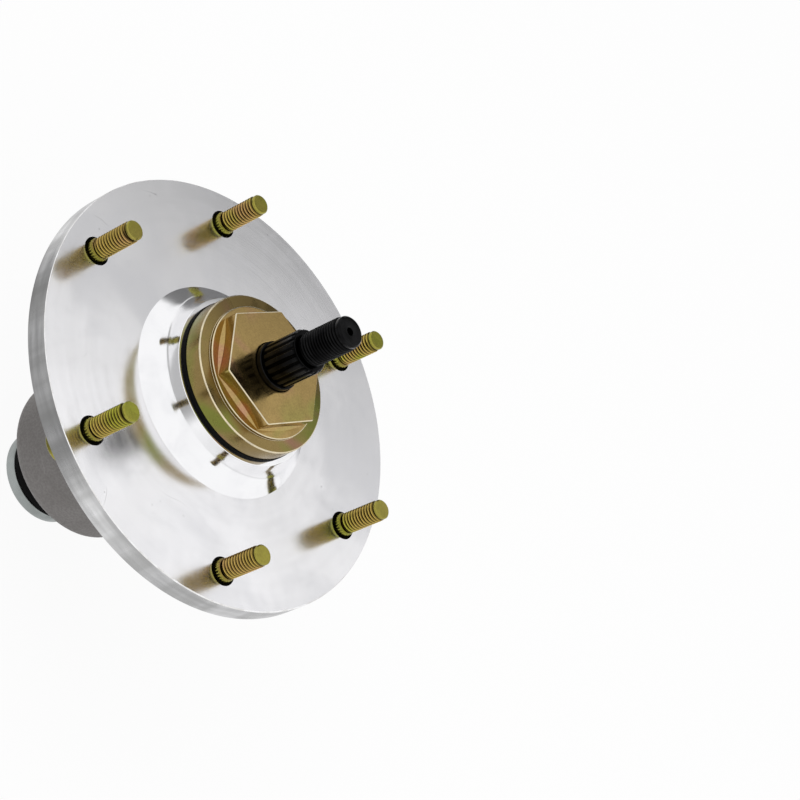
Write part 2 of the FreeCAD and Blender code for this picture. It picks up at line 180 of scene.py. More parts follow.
def markRoots(piece, zones):  # painted shade in the roots: 0 on a crest, 1 in a root
    share = piece.data.attributes.new("rootShare", "FLOAT", "POINT").data
    for vert in piece.data.vertices:
        z = vert.co.z / mm
        r = math.hypot(vert.co.x, vert.co.y) / mm
        for low, high, root, crest in zones:
            if low < z < high:
                dark = rootShadeLook["spread"] * (crest - r) / (crest - root) - rootShadeLook["clear"]
                share[vert.index].value = min(max(dark, 0), 1)


def seat(piece, body, slot, *nodes):  # rides on its body in place of its CAD nodes
    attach(piece, body)
    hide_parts(*nodes)
    print("made", piece.name, len(piece.data.polygons), "faces")


# node helpers

def addNode(tree, kind, inputs=None, **settings):
    node = tree.nodes.new(kind)
    for key, value in settings.items():
        setattr(node, key, value)
    for key, value in (inputs or {}).items():
        if isinstance(value, bpy.types.NodeSocket):
            tree.links.new(value, node.inputs[key])
        else:
            node.inputs[key].default_value = value
    return node


def calc(tree, operation, first, second=0.0):
    node = addNode(tree, "ShaderNodeMath", {0: first, 1: second}, operation=operation)
    return node.outputs[0]


def scaled(tree, value, share):
    return calc(tree, "MULTIPLY", value, share)


def vectorCalc(tree, operation, inputs):
    return addNode(tree, "ShaderNodeVectorMath", inputs, operation=operation).outputs


def blendColours(tree, share, first, second):
    inputs = {0: share, 6: first, 7: second}
    return addNode(tree, "ShaderNodeMix", inputs, data_type="RGBA").outputs[2]


def rescale(tree, value, fromLow, fromHigh, toLow, toHigh):
    inputs = {0: value, 1: fromLow, 2: fromHigh, 3: toLow, 4: toHigh}
    return addNode(tree, "ShaderNodeMapRange", inputs, interpolation_type="SMOOTHSTEP").outputs[0]


def maskOf(tree, value, low, high):  # 0 at low and 1 at high
    return rescale(tree, value, low, high, 0.0, 1.0)


def between(tree, share, ends):
    return rescale(tree, share, 0.0, 1.0, *ends)


def newGroup(name, inputs, outputs):
    tree = bpy.data.node_groups.new(name, "ShaderNodeTree")
    for label, kind, value in inputs:
        socket = tree.interface.new_socket(label, in_out="INPUT", socket_type="NodeSocket" + kind)
        if value is not None:
            socket.default_value = value
    for label, kind in outputs:
        tree.interface.new_socket(label, in_out="OUTPUT", socket_type="NodeSocket" + kind)
    entry = addNode(tree, "NodeGroupInput").outputs
    leave = addNode(tree, "NodeGroupOutput").inputs
    return tree, entry, leave


def makeLatheMarks():  # rings left by the tool, round the shaft axis
    bandShare = 0.13  # rate of the broad bands against the fine rings
    inputs = [
        ("Vector", "Vector", None),
        ("Pitch", "Float", 0.4),
        ("Drift", "Float", 2.0),
        ("Sectors", "Float", 1.4),
    ]
    outputs = [("Height", "Float"), ("Streak", "Float"), ("Sector", "Float")]
    tree, entry, leave = newGroup("latheMarks", inputs, outputs)
    parts = addNode(tree, "ShaderNodeSeparateXYZ", {0: entry["Vector"]}).outputs
    flat = addNode(tree, "ShaderNodeCombineXYZ", {0: parts[0], 1: parts[1]}).outputs[0]
    radius = vectorCalc(tree, "LENGTH", {0: flat})["Value"]
    around = vectorCalc(tree, "NORMALIZE", {0: flat})[0]
    drift = vectorCalc(tree, "SCALE", {0: around, "Scale": entry["Drift"]})[0]
    pitch = scaled(tree, entry["Pitch"], mm)
    across = calc(tree, "DIVIDE", calc(tree, "ADD", radius, parts[2]), pitch)
    slow = scaled(tree, across, bandShare)
    fine = {"Vector": drift, "W": across, "Scale": 1.0, "Detail": 2.0}
    coarse = {"Vector": drift, "W": slow, "Scale": 1.0, "Detail": 3.0}
    rings = addNode(tree, "ShaderNodeTexNoise", fine, noise_dimensions="4D").outputs["Fac"]
    bands = addNode(tree, "ShaderNodeTexNoise", coarse, noise_dimensions="4D").outputs["Fac"]
    tree.links.new(rings, leave["Height"])
    tree.links.new(maskOf(tree, bands, 0.3, 0.7), leave["Streak"])
    wedge = {"Vector": around, "Scale": entry["Sectors"], "Detail": 3.0}
    sectors = addNode(tree, "ShaderNodeTexNoise", wedge).outputs["Fac"]
    tree.links.new(maskOf(tree, sectors, 0.35, 0.65), leave["Sector"])
    return tree


def makeClouds():  # soft patches of handling and polish
    inputs = [
        ("Vector", "Vector", None),
        ("Scale", "Float", 30.0),
        ("Low", "Float", 0.4),
        ("High", "Float", 0.65),
    ]
    tree, entry, leave = newGroup("clouds", inputs, [("Mask", "Float")])
    patch = {"Vector": entry["Vector"], "Scale": entry["Scale"], "Detail": 4.0, "Distortion": 0.6}
    patches = addNode(tree, "ShaderNodeTexNoise", patch).outputs["Fac"]
    tree.links.new(maskOf(tree, patches, entry["Low"], entry["High"]), leave["Mask"])
    return tree


def makeScratches():  # sparse hair lines and small nicks
    sparseScale, nickScale = 1.7, 9.0  # against the scale of the lines
    inputs = [("Vector", "Vector", None), ("Scale", "Float", 40.0), ("Width", "Float", 0.004)]
    tree, entry, leave = newGroup("scratches", inputs, [("Mask", "Float")])
    lines = {"Vector": entry["Vector"], "Scale": entry["Scale"], "Detail": 1.0}
    wander = addNode(tree, "ShaderNodeTexNoise", lines).outputs["Fac"]
    gap = calc(tree, "ABSOLUTE", calc(tree, "SUBTRACT", wander, 0.5))
    hair = rescale(tree, gap, 0.0, entry["Width"], 1.0, 0.0)
    spread = scaled(tree, entry["Scale"], sparseScale)
    where = {"Vector": entry["Vector"], "Scale": spread, "Detail": 2.0}
    sparse = addNode(tree, "ShaderNodeTexNoise", where).outputs["Fac"]
    kept = maskOf(tree, sparse, 0.60, 0.70)
    spots = {"Vector": entry["Vector"], "Scale": scaled(tree, entry["Scale"], nickScale)}
    nick = addNode(tree, "ShaderNodeTexVoronoi", spots).outputs["Distance"]
    pits = calc(tree, "MULTIPLY", rescale(tree, nick, 0.05, 0.16, 1.0, 0.0), kept)
    hairs = calc(tree, "MULTIPLY", hair, kept)
    tree.links.new(calc(tree, "MAXIMUM", hairs, pits), leave["Mask"])
    return tree


def makeZincTint():  # the green and pink cast of a yellow passivated plating
    pinkShift = (0.31, 0.17, 0.53)  # sets the pink patches apart from the green
    inputs = [
        ("Vector", "Vector", None),
        ("Scale", "Float", 30.0),
        ("Shift", "Vector", (0, 0, 0)),
        ("Gold", "Color", (0.5, 0.4, 0.2, 1)),
        ("Green", "Color", (0.4, 0.45, 0.15, 1)),
        ("Pink", "Color", (0.5, 0.3, 0.25, 1)),
    ]
    tree, entry, leave = newGroup("zincTint", inputs, [("Color", "Color")])
    patch = {"Scale": entry["Scale"], "Detail": 2.0, "Distortion": 0.8}
    here = {"Vector": entry["Vector"], "Location": entry["Shift"]}
    moved = addNode(tree, "ShaderNodeMapping", here).outputs[0]
    apart = {"Vector": moved, "Location": pinkShift}
    shifted = addNode(tree, "ShaderNodeMapping", apart).outputs[0]
    greens = addNode(tree, "ShaderNodeTexNoise", {"Vector": moved, **patch}).outputs["Fac"]
    pinks = addNode(tree, "ShaderNodeTexNoise", {"Vector": shifted, **patch}).outputs["Fac"]
    greenShare = maskOf(tree, greens, 0.48, 0.66)
    pinkShare = maskOf(tree, pinks, 0.54, 0.70)
    tinted = blendColours(tree, greenShare, entry["Gold"], entry["Green"])
    tinted = blendColours(tree, pinkShare, tinted, entry["Pink"])
    tree.links.new(tinted, leave["Color"])
    return tree


def makeGrit():  # sand-cast or moulded grain
    pitScale, pitDepth = 0.35, 0.5  # against the scale and height of the grain
    inputs = [("Vector", "Vector", None), ("Scale", "Float", 900.0)]
    tree, entry, leave = newGroup("grit", inputs, [("Height", "Float"), ("Mask", "Float")])
    grain = {"Vector": entry["Vector"], "Scale": entry["Scale"], "Detail": 5.0, "Roughness": 0.65}
    height = addNode(tree, "ShaderNodeTexNoise", grain).outputs["Fac"]
    pits = {"Vector": entry["Vector"], "Scale": scaled(tree, entry["Scale"], pitScale)}
    hollow = addNode(tree, "ShaderNodeTexVoronoi", pits).outputs["Distance"]
    sunk = rescale(tree, hollow, 0.0, 0.3, -pitDepth, 0.0)
    tree.links.new(calc(tree, "ADD", height, sunk), leave["Height"])
    tree.links.new(maskOf(tree, height, 0.35, 0.65), leave["Mask"])
    return tree


groups = {
    "latheMarks": makeLatheMarks(),
    "clouds": makeClouds(),
    "scratches": makeScratches(),
    "zincTint": makeZincTint(),
    "grit": makeGrit(),
}
print("shader groups:", ", ".join(groups))


def newMaterial(name, **fixed):
    material = bpy.data.materials.new(name)
    material.use_nodes = True
    tree = material.node_tree
    tree.nodes.clear()
    shader = addNode(tree, "ShaderNodeBsdfPrincipled")
    for key, value in fixed.items():
        shader.inputs[key.replace("_", " ")].default_value = value
    addNode(tree, "ShaderNodeOutputMaterial", {"Surface": shader.outputs["BSDF"]})
    place = addNode(tree, "ShaderNodeTexCoord").outputs["Object"]
    return material, tree, shader, place


def useGroup(tree, name, place, **inputs):
    node = addNode(tree, "ShaderNodeGroup", node_tree=groups[name])
    tree.links.new(place, node.inputs["Vector"])
    for key, value in inputs.items():
        node.inputs[key].default_value = value
    return node.outputs


def marked(tree, name):  # a share that was written on the mesh's points
    return addNode(tree, "ShaderNodeAttribute", attribute_name=name).outputs["Fac"]


def feed(tree, shader, **sockets):
    for key, value in sockets.items():
        tree.links.new(value, shader.inputs[key.replace("_", " ")])


def brushRound(tree, shader):  # highlights stretch across the tool marks
    along = addNode(tree, "ShaderNodeTangent", direction_type="RADIAL", axis="Z")
    tree.links.new(along.outputs[0], shader.inputs["Tangent"])


def addBump(tree, shader, height, depth):
    bump = addNode(tree, "ShaderNodeBump", {"Height": height, "Distance": depth * mm})
    tree.links.new(bump.outputs[0], shader.inputs["Normal"])


# materials

faceFinish = {
    "bright": (0.95, 0.945, 0.955, 1),
    "dull": (0.88, 0.875, 0.88, 1),
    "haze": (0.78, 0.78, 0.80, 1),
    "hazeShare": 0.7,
    "nick": (0.36, 0.35, 0.34, 1),
    "nickShare": 0.55,
    "nickDepth": 0.3,
    "roughness": (0.165, 0.215),
    "grain": 0.03,  # roughness that fine patches and tool rings add
    "depth": 0.004,
}


def makeMachinedFace():
    look = faceFinish
    material, tree, shader, place = newMaterial("machinedFace", Metallic=1.0, Anisotropic=0.5)
    marks = useGroup(tree, "latheMarks", place, Pitch=0.35, Drift=1.5, Sectors=1.5)
    wide = useGroup(tree, "clouds", place, Scale=26.0, Low=0.40, High=0.70)["Mask"]
    fine = useGroup(tree, "clouds", place, Scale=140.0, Low=0.45, High=0.75)["Mask"]
    marred = useGroup(tree, "scratches", place, Scale=34.0, Width=0.0022)["Mask"]
    colour = blendColours(tree, marks["Sector"], look["bright"], look["dull"])
    colour = blendColours(tree, scaled(tree, wide, look["hazeShare"]), colour, look["haze"])
    colour = blendColours(tree, scaled(tree, marred, look["nickShare"]), colour, look["nick"])
    smear = between(tree, wide, look["roughness"])
    for extra in (fine, marks["Streak"]):
        smear = calc(tree, "ADD", smear, scaled(tree, extra, look["grain"]))
    feed(tree, shader, Base_Color=colour, Roughness=smear)
    brushRound(tree, shader)
    height = calc(tree, "SUBTRACT", marks["Height"], scaled(tree, marred, look["nickDepth"]))
    addBump(tree, shader, height, look["depth"])
    return material


bossFinish = {
    "bright": (0.93, 0.93, 0.935, 1),
    "dull": (0.88, 0.88, 0.89, 1),
    "roughness": (0.10, 0.16),
    "depth": 0.002,
}


def makePolishedBoss():
    look = bossFinish
    material, tree, shader, place = newMaterial("polishedBoss", Metallic=1.0, Anisotropic=0.4)
    marks = useGroup(tree, "latheMarks", place, Pitch=0.3, Drift=1.0)
    fine = useGroup(tree, "clouds", place, Scale=90.0, Low=0.40, High=0.70)["Mask"]
    colour = blendColours(tree, fine, look["bright"], look["dull"])
    feed(tree, shader, Base_Color=colour, Roughness=between(tree, fine, look["roughness"]))
    brushRound(tree, shader)
    addBump(tree, shader, marks["Height"], look["depth"])
    return material


rimFinish = {
    "bright": (0.84, 0.84, 0.84, 1),
    "streak": (0.50, 0.50, 0.50, 1),
    "patch": (0.40, 0.40, 0.39, 1),
    "patchShare": 0.7,
    "nick": (0.30, 0.30, 0.29, 1),
    "nickShare": 0.6,
    "roughness": (0.20, 0.34),
    "depth": 0.012,
}


def makeTurnedRim():
    look = rimFinish
    material, tree, shader, place = newMaterial("turnedRim", Metallic=1.0)
    marks = useGroup(tree, "latheMarks", place, Pitch=0.5, Drift=3.0, Sectors=7.0)
    wide = useGroup(tree, "clouds", place, Scale=40.0, Low=0.35, High=0.65)["Mask"]
    marred = useGroup(tree, "scratches", place, Scale=60.0, Width=0.005)["Mask"]
    patches = scaled(tree, marks["Sector"], look["patchShare"])
    colour = blendColours(tree, marks["Streak"], look["bright"], look["streak"])
    colour = blendColours(tree, patches, colour, look["patch"])
    colour = blendColours(tree, scaled(tree, marred, look["nickShare"]), colour, look["nick"])
    feed(tree, shader, Base_Color=colour, Roughness=between(tree, wide, look["roughness"]))
    addBump(tree, shader, marks["Height"], look["depth"])
    return material


castFinish = {
    "dark": (0.165, 0.155, 0.148, 1),
    "light": (0.205, 0.195, 0.188, 1),
    "grain": (0.13, 0.12, 0.115, 1),
    "grainShare": 0.35,
    "rub": (0.42, 0.41, 0.40, 1),
    "rubShare": 0.3,
    "roughness": (0.50, 0.66),
    "depth": 0.06,
}


def makeCastAluminium():
    look = castFinish
    material, tree, shader, place = newMaterial("castAluminium", Metallic=0.35)
    grit = useGroup(tree, "grit", place, Scale=1100.0)
    wide = useGroup(tree, "clouds", place, Scale=45.0, Low=0.35, High=0.70)["Mask"]
    marred = useGroup(tree, "scratches", place, Scale=55.0, Width=0.006)["Mask"]
    grain = scaled(tree, grit["Mask"], look["grainShare"])
    colour = blendColours(tree, wide, look["dark"], look["light"])
    colour = blendColours(tree, grain, colour, look["grain"])
    colour = blendColours(tree, scaled(tree, marred, look["rubShare"]), colour, look["rub"])
    feed(tree, shader, Base_Color=colour, Roughness=between(tree, grit["Mask"], look["roughness"]))
    addBump(tree, shader, grit["Height"], look["depth"])
    return material


zincFinish = {
    "grain": (0.16, 0.10, 0.035, 1),
    "grainShare": 0.25,
    "grainHeight": 0.4,
    # root: painted shade, a near-black for the thread roots
    "root": (0.012, 0.007, 0.002, 1),
    "rootPower": 0.32,  # under 1, the painted shade reaches up the flanks
    "endShare": 0.8,
    "depth": 0.006,
}
nutTint = {  # hexagon and the top of the step
    "tint": {
        "Scale": 34.0,
        "Shift": (0.00885, 0.00314, 0.0),
        "Gold": (0.48, 0.335, 0.125, 1),
        "Green": (0.38, 0.34, 0.10, 1),
        "Pink": (0.52, 0.29, 0.17, 1),
    },
    "roughness": (0.14, 0.23),
}
nutShadedTint = {  # flange and the side of the step, a darker copy of the same plating as painted shade
    "tint": {
        "Scale": 34.0,
        "Shift": (-0.014, -0.0025, 0.0),
        "Gold": (0.29, 0.21, 0.078, 1),
        "Green": (0.22, 0.24, 0.05, 1),
        "Pink": (0.36, 0.19, 0.13, 1),
    },
    "roughness": (0.24, 0.33),
}
studTint = {
    "tint": {
        "Scale": 40.0,
        "Shift": (0.0, 0.0, 0.0),
        "Gold": (0.80, 0.58, 0.14, 1),
        "Green": (0.62, 0.62, 0.07, 1),
        "Pink": (0.84, 0.51, 0.20, 1),
    },
    "end": (0.24, 0.25, 0.04, 1),
    "roughness": (0.18, 0.30),
}


def makeYellowZinc(name, look):
    plating = zincFinish
    material, tree, shader, place = newMaterial(name, Metallic=1.0)
    colour = useGroup(tree, "zincTint", place, **look["tint"])["Color"]
    grit = useGroup(tree, "grit", place, Scale=1500.0)
    fine = useGroup(tree, "clouds", place, Scale=120.0, Low=0.35, High=0.70)["Mask"]
    marks = useGroup(tree, "latheMarks", place, Pitch=0.4, Drift=2.0)
    grain = scaled(tree, grit["Mask"], plating["grainShare"])
    if "end" in look:
        ends = scaled(tree, marked(tree, "endShare"), plating["endShare"])
        colour = blendColours(tree, ends, colour, look["end"])
    colour = blendColours(tree, grain, colour, plating["grain"])
    if "end" in look:  # only a threaded piece gets painted shade in its roots
        rootShade = calc(tree, "POWER", marked(tree, "rootShare"), plating["rootPower"])
        colour = blendColours(tree, rootShade, colour, plating["root"])
    feed(tree, shader, Base_Color=colour, Roughness=between(tree, fine, look["roughness"]))
    rough = scaled(tree, grit["Height"], plating["grainHeight"])
    addBump(tree, shader, calc(tree, "ADD", marks["Height"], rough), plating["depth"])
    return material


oxideFinish = {
    "dark": (0.007, 0.007, 0.0072, 1),
    "light": (0.018, 0.018, 0.0185, 1),
    # root: painted shade in the spline and thread roots
    "root": (0.001, 0.001, 0.001, 1),
    "rootShare": 0.95,
    "roughness": (0.22, 0.36),
    "depth": 0.004,
}


def makeBlackOxide():
    look = oxideFinish
    material, tree, shader, place = newMaterial("blackOxide", Metallic=1.0)
    fine = useGroup(tree, "clouds", place, Scale=160.0, Low=0.35, High=0.70)["Mask"]
    marks = useGroup(tree, "latheMarks", place, Pitch=0.3, Drift=2.0)
    # the roots of splines and thread take the painted shade
    rootShade = scaled(tree, marked(tree, "rootShare"), look["rootShare"])
    colour = blendColours(tree, fine, look["dark"], look["light"])
    colour = blendColours(tree, rootShade, colour, look["root"])
    feed(tree, shader, Base_Color=colour, Roughness=between(tree, fine, look["roughness"]))
    addBump(tree, shader, marks["Height"], look["depth"])
    return material


hubFinish = {
    "bright": (0.36, 0.385, 0.375, 1),
    "dull": (0.26, 0.28, 0.27, 1),
    "roughness": (0.26, 0.36),
    "depth": 0.006,
}


def makeClearZinc():
    look = hubFinish
    material, tree, shader, place = newMaterial("clearZinc", Metallic=1.0)
    marks = useGroup(tree, "latheMarks", place, Pitch=0.4, Drift=2.0)
    fine = useGroup(tree, "clouds", place, Scale=90.0, Low=0.35, High=0.70)["Mask"]
    colour = blendColours(tree, fine, look["bright"], look["dull"])
    smear = between(tree, marks["Streak"], look["roughness"])
    feed(tree, shader, Base_Color=colour, Roughness=smear)
    addBump(tree, shader, marks["Height"], look["depth"])
    return material


edgeFinish = {
    # gold: worn plating and a painted highlight on the nut's eased edges
    "gold": (0.78, 0.68, 0.47, 1),
    "silver": (0.95, 0.95, 0.95, 1),
    "worn": (0.45, 0.42, 0.36, 1),
    "wornShare": 0.4,
    "roughness": (0.18, 0.30),
}


def makeBrightEdge(name, tone):
    look = edgeFinish
    material, tree, shader, place = newMaterial(name, Metallic=1.0)
    fine = useGroup(tree, "clouds", place, Scale=200.0, Low=0.35, High=0.70)["Mask"]
    worn = scaled(tree, fine, look["wornShare"])
    colour = blendColours(tree, worn, look[tone], look["worn"])
    feed(tree, shader, Base_Color=colour, Roughness=between(tree, fine, look["roughness"]))
    return material


blackFinish = {
    "rubber": (0.002, 0.006),  # darkest and lightest grain; blacker than the rubber itself, partly painted shade in the gaps
    # painted shade: near-black standing for the shadow in the stud holes
    "grime": (0.002, 0.005),
    "roughness": (0.55, 0.70),
    "depth": 0.02,
}


def makeMattBlack(name, tone):
    look = blackFinish
    material, tree, shader, place = newMaterial(name, Metallic=0.0, Specular_IOR_Level=0.05)
    grit = useGroup(tree, "grit", place, Scale=2200.0)
    dark, light = look[tone]
    colour = blendColours(tree, grit["Mask"], (dark, dark, dark, 1), (light, light, light, 1))
    feed(tree, shader, Base_Color=colour, Roughness=between(tree, grit["Mask"], look["roughness"]))
    addBump(tree, shader, grit["Height"], look["depth"])
    return material


steelFinish = {  # bright and dull tone, least and most roughness
    "springSteel": ((0.16, 0.15, 0.14, 1), (0.10, 0.10, 0.10, 1), (0.35, 0.45)),
    "bearingSteel": ((0.80, 0.80, 0.80, 1), (0.72, 0.72, 0.72, 1), (0.12, 0.20)),
    "cageSteel": ((0.60, 0.60, 0.60, 1), (0.48, 0.48, 0.48, 1), (0.30, 0.42)),
    "depth": 0.002,
}


def makeSteel(name):
    bright, dull, roughness = steelFinish[name]
    material, tree, shader, place = newMaterial(name, Metallic=1.0)
    marks = useGroup(tree, "latheMarks", place, Pitch=0.2, Drift=1.0)
    fine = useGroup(tree, "clouds", place, Scale=150.0, Low=0.35, High=0.70)["Mask"]
    colour = blendColours(tree, fine, bright, dull)
    feed(tree, shader, Base_Color=colour, Roughness=between(tree, marks["Streak"], roughness))
    addBump(tree, shader, marks["Height"], steelFinish["depth"])
    return material


machinedFace = makeMachinedFace()
polishedBoss = makePolishedBoss()
turnedRim = makeTurnedRim()
castAluminium = makeCastAluminium()
nutZinc = makeYellowZinc("nutZinc", nutTint)
nutDeepZinc = makeYellowZinc("nutDeepZinc", nutShadedTint)
studZinc = makeYellowZinc("studZinc", studTint)
blackOxide = makeBlackOxide()
clearZinc = makeClearZinc()
goldEdge = makeBrightEdge("goldEdge", "gold")
silverEdge = makeBrightEdge("silverEdge", "silver")
# black rubber, darkened past its own colour as painted shade in the gaps
rubber = makeMattBlack("blackRubber", "rubber")
# near-black painted shade for the stud holes' sinks and walls
holeGrime = makeMattBlack("holeGrime", "grime")
springSteel = makeSteel("springSteel")
bearingSteel = makeSteel("bearingSteel")
cageSteel = makeSteel("cageSteel")
print("materials made")


# housing: flange, boss and barrel in one casting

housingLook = {
    "columns": 288,
    "roundSteps": 10,
    "thickness": 9.05,
    "bossRadius": 40.5,
    "kneeRadius": 34.0,  # the boss flares out below its knee
    "kneeDrop": 6.5,
    "flare": 10.0,
    "lipRadius": 32.0,
    "lipRound": 0.3,
    "nutThread": 26.0,
    "threadEdge": 0.3,
    "bearingRadius": 23.5,
    "bearingSeat": 102.7,
    "bearingEdge": 0.8,
    "barrelRadius": 31.7,
    "barrelCorner": 6.0,
    "barrelRoot": 5.0,
    "footRound": 0.3,
    "rootMargin": 3.0,  # where the flat back starts, past the root
    "edgeLeast": 0.20,  # the face's edge was eased off centre
    "edgeMost": 0.42,
    "edgeTurn": 150.0,
    "castSwell": 0.12,  # unevenness of the cast skin
    "swellGrain": 60.0,
    "swellInner": 4.0,  # past the bearing's radius
    "swellOuter": 0.5,  # past the barrel's radius
    "swellEnds": 1.0,
    "holePlay": 0.02,
    "holeColumns": 48,
    "sink": 1.1,
}
studLook = {
    "columns": 72,
    "pitch": 25.4 / 18,
    "root": 3.12,
    "startCut": 0.15,
    "shoulder": 4.3,
    "shoulderStand": 2.6,
    "knurls": 24,
    "knurlDepth": 0.30,
    "knurlFoot": 1.2,  # below the face
    "knurlStart": 0.9,
    "knurlEnd": 0.6,  # below the shoulder's top
    "endBand": 1.2,  # plain length above the thread
    "endStep": 0.2,
    "endEdge": 0.4,
    "endRadius": 3.72,
    "endFace": 3.30,
    "headRadius": 7.5,
    "headEdge": 0.7,
    "headSeat": 0.15,
    "markPast": 0.1,
    "crease": 24,
    "seed": 7,
}
studMount = mounts["deck_studs"]["dims"]
studCircle = studMount["pcd_mm"] / 2
studCount = studMount["count"]
faceLevel = mounts["deck_face"]["pos_m"][2] / mm


def holeRow(number, radius, level):
    angle = math.tau * number / studCount
    x, y = studCircle * math.cos(angle), studCircle * math.sin(angle)
    loop = ring(housingLook["holeColumns"], radius, level)
    return [(x + px, y + py, pz) for px, py, pz in loop]


def makeHousing():
    look = housingLook
    columns = look["columns"]
    flange, barrelBottom, bossTop = span("housing")
    back = faceLevel - look["thickness"]
    # the last slot holds the stud holes, in a near-black painted shade
    cast, face, boss, rim, edge, dark = range(6)
    least, most = look["edgeLeast"], look["edgeMost"]
    turn = math.radians(look["edgeTurn"])

    def eased(angle):  # width of the bevel round the face
        return least + (most - least) * (0.5 + 0.5 * math.cos(angle - turn)) ** 2

    mesh = bmesh.new()
    faceEdge = ring(columns, lambda angle: flange - eased(angle), faceLevel)
    rimTop = ring(columns, flange, lambda angle: faceLevel - eased(angle))
    rimLow = ring(columns, flange, back + least)
    backEdge = ring(columns, flange - least, back)
    addBands(mesh, [backEdge, rimLow, rimTop, faceEdge], [edge, rim, edge])

    barrel, corner, root = look["barrelRadius"], look["barrelCorner"], look["barrelRoot"]
    profile = [
        (look["bossRadius"], faceLevel, 0, boss),
        (look["kneeRadius"], bossTop - look["kneeDrop"], look["flare"], boss),
        (look["lipRadius"], bossTop, look["lipRound"], boss),
        (look["nutThread"], bossTop, look["threadEdge"], face),
        (look["nutThread"], look["bearingSeat"], 0, face),
        (look["bearingRadius"], look["bearingSeat"], 0, face),
        (look["bearingRadius"], barrelBottom, look["bearingEdge"], edge),
        (barrel - corner, barrelBottom, look["footRound"], edge),
        (barrel, barrelBottom, corner, cast),
        (barrel, back, root, cast),
        (barrel + root + look["rootMargin"], back, 0, cast),
    ]
    rows, slots = latheRows(columns, profile, look["roundSteps"])
    addBands(mesh, rows, slots)
    hole = studLook["shoulder"] + look["holePlay"]
    topHoles, backHoles = [], []
    for number in range(studCount):
        sunk = holeRow(number, hole + look["sink"], faceLevel)
        neck = holeRow(number, hole, faceLevel - look["sink"])
        foot = holeRow(number, hole, back)
        # each hole's sink and wall get the painted shade
        addBands(mesh, [sunk, neck, foot], [dark, dark])
        topHoles.append(sunk)
        backHoles.append(foot)
    addFlat(mesh, [faceEdge, rows[0]] + topHoles, face)
    addFlat(mesh, [backEdge, rows[-1]] + backHoles, cast)
    materials = [castAluminium, machinedFace, polishedBoss, turnedRim, silverEdge, holeGrime]
    piece = finishMesh("housingCasting", mesh, materials)

    inner, outer = look["bearingRadius"] + look["swellInner"], barrel + look["swellOuter"]
    lowest, highest = barrelBottom + look["swellEnds"], back - look["swellEnds"]
    height = look["castSwell"] * mm
    for vert in piece.data.vertices:  # only the cast barrel swells
        r = math.hypot(vert.co.x, vert.co.y) / mm
        if inner < r < outer and lowest < vert.co.z / mm < highest:
            swell = height * (noise.noise(vert.co * look["swellGrain"]) - 0.5)
            vert.co.x *= 1 + swell / (r * mm)
            vert.co.y *= 1 + swell / (r * mm)
    seat(piece, "housing", "cast_aluminium", "housing")


makeHousing()


# studs: one is modelled, Geometry Nodes set out the circle

def makeStud():
    look = studLook
    columns = look["columns"]
    headBottom, studTop = span("flange_studs")[1:]
    back = faceLevel - housingLook["thickness"]
    shoulder, root = look["shoulder"], look["root"]
    shoulderTop = faceLevel + look["shoulderStand"]
    threadTop = studTop - look["endBand"]
    radius = studMount["stud_r_mm"]
    head = [
        (0, headBottom, 0, 0),
        (look["headRadius"], headBottom, look["headEdge"], 0),
        (look["headRadius"], back, look["headSeat"], 0),
        (shoulder, back, 0, 0),
    ]
    rows = latheRows(columns, head)[0]

    def knurl(angle):
        return shoulder - look["knurlDepth"] * (0.5 - 0.5 * math.cos(look["knurls"] * angle))

    rows += [
        ring(columns, shoulder, faceLevel - look["knurlFoot"]),
        ring(columns, knurl, faceLevel - look["knurlStart"]),
        ring(columns, knurl, shoulderTop - look["knurlEnd"]),
        ring(columns, radius - look["startCut"], shoulderTop),
    ]
    rows += threadRows(columns, shoulderTop, threadTop, look["pitch"], radius, root)
    rows += [
        ring(columns, root, threadTop),
        ring(columns, look["endRadius"], threadTop + look["endStep"]),
        ring(columns, look["endRadius"], studTop - look["endEdge"]),
        ring(columns, look["endFace"], studTop),
        ring(columns, 0, studTop),
    ]
    mesh = bmesh.new()
    addBands(mesh, rows, [0] * len(rows))
    piece = finishMesh("studPattern", mesh, [studZinc], look["crease"])
    markTop = threadTop + look["markPast"]
    markRoots(piece, [(shoulderTop, markTop, root, radius)])
    endShare = piece.data.attributes.new("endShare", "FLOAT", "POINT").data
    for vert in piece.data.vertices:  # shoulder and tip are greener than the thread
        endShare[vert.index].value = 0 if shoulderTop < vert.co.z / mm < markTop else 1
    return piece


